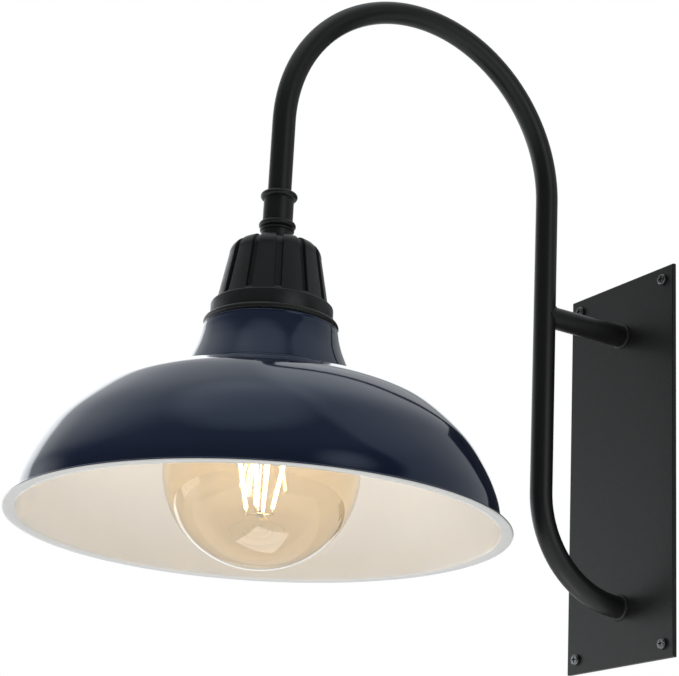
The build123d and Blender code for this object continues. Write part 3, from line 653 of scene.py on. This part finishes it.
def area(name, place, aim, size, power, glossy=True):
    """Soft rectangular light that the camera doesn't see."""
    light = bpy.data.lights.new(name, "AREA")
    light.energy = power
    light.shape = "RECTANGLE"
    light.size, light.size_y = size
    obj = bpy.data.objects.new(name, light)
    obj.location = place
    obj.rotation_euler = (Vector(aim) - Vector(place)).to_track_quat("-Z", "Y").to_euler()
    obj.visible_camera = False
    obj.visible_glossy = glossy
    scene.collection.objects.link(obj)


def lamp(name, place, power, radius):
    """Small warm light that no mirror or glass shows."""
    light = bpy.data.lights.new(name, "POINT")
    light.energy = power
    light.color = (1.0, 0.82, 0.62)
    light.shadow_soft_size = radius
    obj = bpy.data.objects.new(name, light)
    obj.location = place
    obj.visible_camera = False
    obj.visible_glossy = False
    obj.visible_transmission = False
    scene.collection.objects.link(obj)


floor = bpy.data.meshes.new("floor")
bm = bmesh.new()
bmesh.ops.create_grid(bm, x_segments=8, y_segments=8, size=4.0)
for v in bm.verts:
    v.co.z = FLOOR_Z
bm.to_mesh(floor)
bm.free()
floor.materials.append(material("floor_paper", (0.9, 0.9, 0.9), 0.8, grain=600, vary=0.02))
floor_obj = bpy.data.objects.new("floor", floor)
scene.collection.objects.link(floor_obj)

world = bpy.data.worlds.new("studio")
scene.world = world
world.use_nodes = True
tree = world.node_tree
seen = tree.nodes["Background"]
seen.inputs["Color"].default_value = (1, 1, 1, 1)
seen.inputs["Strength"].default_value = 1.0


def sky_node(kind, **values):
    """New node in the world's tree, with its settings given by name."""
    node = tree.nodes.new(kind)
    for key, value in values.items():
        setattr(node, key, value)
    return node


def towards(direction, start, end, gain):
    """Brightness of the studio towards one direction, fading out away from it."""
    dot = sky_node("ShaderNodeVectorMath", operation="DOT_PRODUCT")
    tree.links.new(sky_coord.outputs["Generated"], dot.inputs[0])
    dot.inputs[1].default_value = Vector(direction).normalized()
    span = sky_node("ShaderNodeMapRange", interpolation_type="SMOOTHSTEP")
    for key, value in (("From Min", start), ("From Max", end), ("To Min", 0.0), ("To Max", gain)):
        span.inputs[key].default_value = value
    tree.links.new(dot.outputs["Value"], span.inputs["Value"])
    return span.outputs["Result"]


def total(a, b):
    """Sum of a node's output and a number or another output."""
    node = sky_node("ShaderNodeMath", operation="ADD")
    tree.links.new(a, node.inputs[0])
    if isinstance(b, float):
        node.inputs[1].default_value = b
    else:
        tree.links.new(b, node.inputs[1])
    return node.outputs[0]


sky_coord = sky_node("ShaderNodeTexCoord")
# Soft patches of studio light: direction, where it starts and is full (as a cosine), strength.
SKY_PATCHES = [
    ((-0.50, 0.0, 0.87), 0.60, 1.0, 0.5),
    ((0.20, -0.25, 0.95), 0.88, 0.98, 0.4),
    ((0.10, -0.20, 0.97), 0.40, 0.75, 0.1),
    ((0.06, 0.70, 0.71), 0.72, 0.80, 0.3),
    ((-0.92, 0.35, 0.10), 0.83, 0.88, 1.0),
    ((-0.95, 0.10, 0.30), 0.80, 0.97, 0.2),
    ((-0.85, -0.52, -0.20), 0.80, 1.0, 1.5),
    ((0.97, 0.17, 0.13), 0.90, 0.99, 1.0),
]
glow = 0.05
for direction, start, end, gain in SKY_PATCHES:
    glow = total(towards(direction, start, end, gain), glow)
lit = sky_node("ShaderNodeBackground")
lit.inputs["Color"].default_value = (0.95, 0.98, 1.0, 1)
tree.links.new(glow, lit.inputs["Strength"])
mix = sky_node("ShaderNodeMixShader")
path = sky_node("ShaderNodeLightPath")
tree.links.new(path.outputs["Is Camera Ray"], mix.inputs["Fac"])
tree.links.new(lit.outputs[0], mix.inputs[1])
tree.links.new(seen.outputs[0], mix.inputs[2])
tree.links.new(mix.outputs[0], tree.nodes["World Output"].inputs["Surface"])

AIM = (0.0, -0.15, 0.05)
area("key_left", (-1.1, -1.8, -0.1), AIM, (1.1, 1.6), 9, glossy=False)
area("top", (0.3, -0.6, 1.5), AIM, (1.4, 1.4), 4, glossy=False)
area("below", (0.0, -0.3, -0.6), (0.0, -0.3, 0.0), (1.6, 1.6), 1.7)
area("window", (-0.05, -0.21, -0.59), (-0.05, -0.21, 0.0), (0.32, 0.33), 0.3)

GLOW_RING_R = 0.082
GLOW_Z = -0.045
for i in range(6):
    a = math.radians(60 * i + 30)
    lamp(f"glow_{i}", (GLOW_RING_R * math.cos(a), HEAD_Y + GLOW_RING_R * math.sin(a), GLOW_Z), 0.028, 0.012)

camera_data = bpy.data.cameras.new("camera")
camera_data.sensor_width = 36
camera_data.lens = 110.66
camera = bpy.data.objects.new("camera", camera_data)
CAMERA_AZIMUTH = math.radians(58.04)
CAMERA_ELEVATION = math.radians(-18.684)
CAMERA_ROLL = math.radians(3.033)
CAMERA_DISTANCE = 1.392
CAMERA_TARGET = Vector((0.0036, -0.24904, 0.04345))
level = Vector((math.cos(CAMERA_AZIMUTH), math.sin(CAMERA_AZIMUTH), 0))
behind = Vector((math.sin(CAMERA_AZIMUTH) * math.cos(CAMERA_ELEVATION),
                 -math.cos(CAMERA_AZIMUTH) * math.cos(CAMERA_ELEVATION),
                 math.sin(CAMERA_ELEVATION)))
right = level * math.cos(CAMERA_ROLL) + behind.cross(level) * math.sin(CAMERA_ROLL)
up = behind.cross(right)
turn = Matrix((right, up, behind)).transposed().to_4x4()
camera.matrix_world = Matrix.Translation(CAMERA_TARGET + behind * CAMERA_DISTANCE) @ turn
scene.collection.objects.link(camera)
scene.camera = camera

scene.view_settings.view_transform = "Standard"
scene.view_settings.look = "None"
